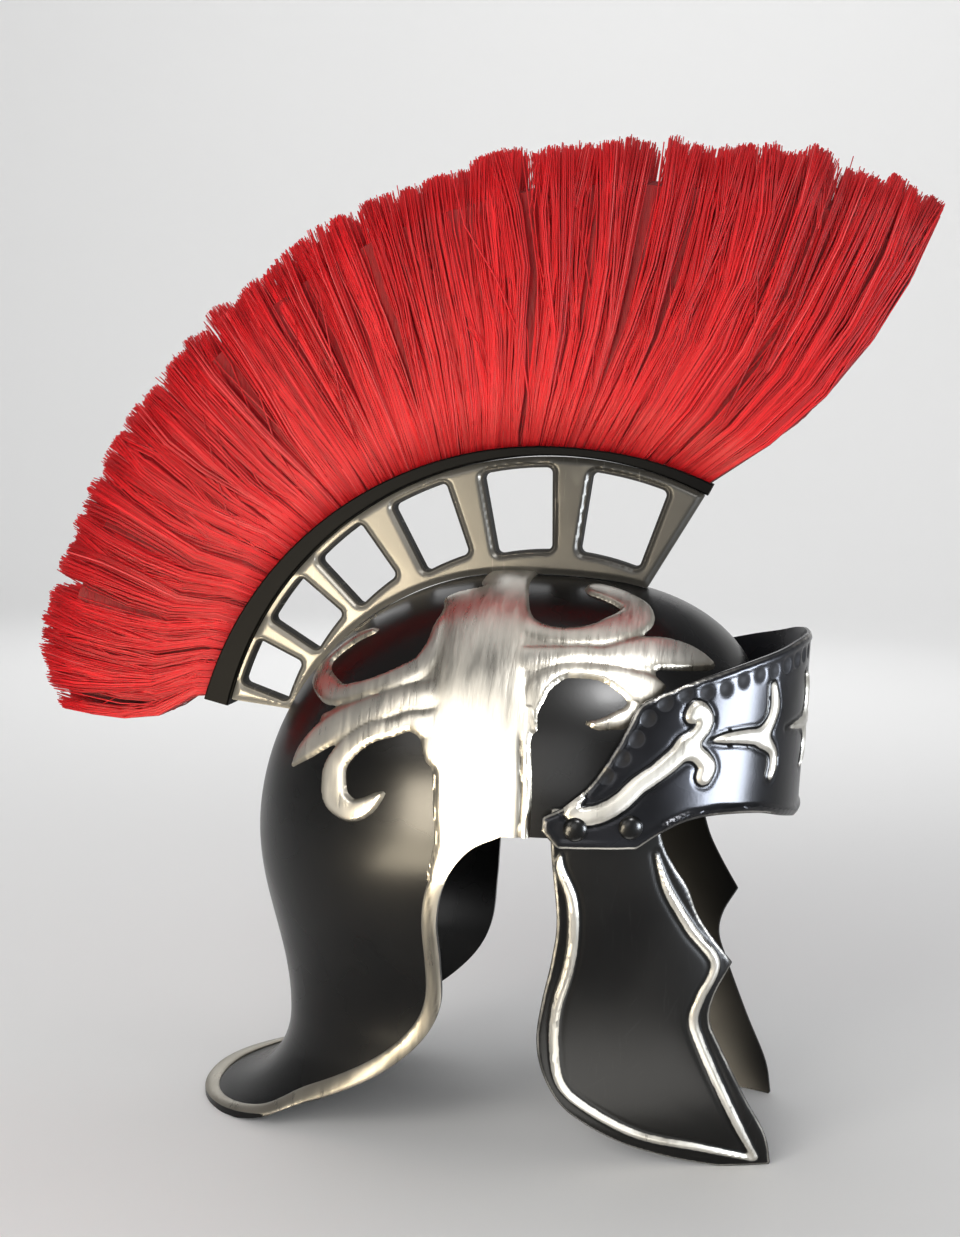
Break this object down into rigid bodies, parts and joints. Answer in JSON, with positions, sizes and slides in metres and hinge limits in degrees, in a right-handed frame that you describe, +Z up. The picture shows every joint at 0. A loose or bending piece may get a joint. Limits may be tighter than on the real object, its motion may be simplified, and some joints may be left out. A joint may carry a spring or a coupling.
{
  "type": "roman legionary helmet",
  "caption": "Moulded helmet with a flared neck guard, hanging cheek guards, an upright brow band and a brush crest on an openwork holder.",
  "frame": {"origin": "on the surface it rests on, under the middle of its outer box", "axes": "+X to the front of the helmet, +Y to the wearer's left, +Z up"},
  "size_m": [0.4037, 0.2026, 0.4455],
  "materials": {
    "black_shell": "black semi-gloss moulded plastic with brushed silver paint on its raised ornament",
    "black_rivet": "black semi-gloss domed rivet heads",
    "pewter_paint": "satin pewter paint, darker at the front",
    "black_trim": "plain black strip",
    "red_bristle": "bright red brush bristles in clumps with ragged tips"
  },
  "bodies": {
    "root": {"skull": "black_shell", "brow_band": "black_shell", "cheek_guard_right": "black_shell", "cheek_guard_left": "black_shell", "rivet_right_rear": "black_rivet", "rivet_right_front": "black_rivet", "rivet_left_rear": "black_rivet", "rivet_left_front": "black_rivet", "crest_holder": "pewter_paint", "crest_channel": "black_trim", "plume": "red_bristle"}
  },
  "joints": []
}
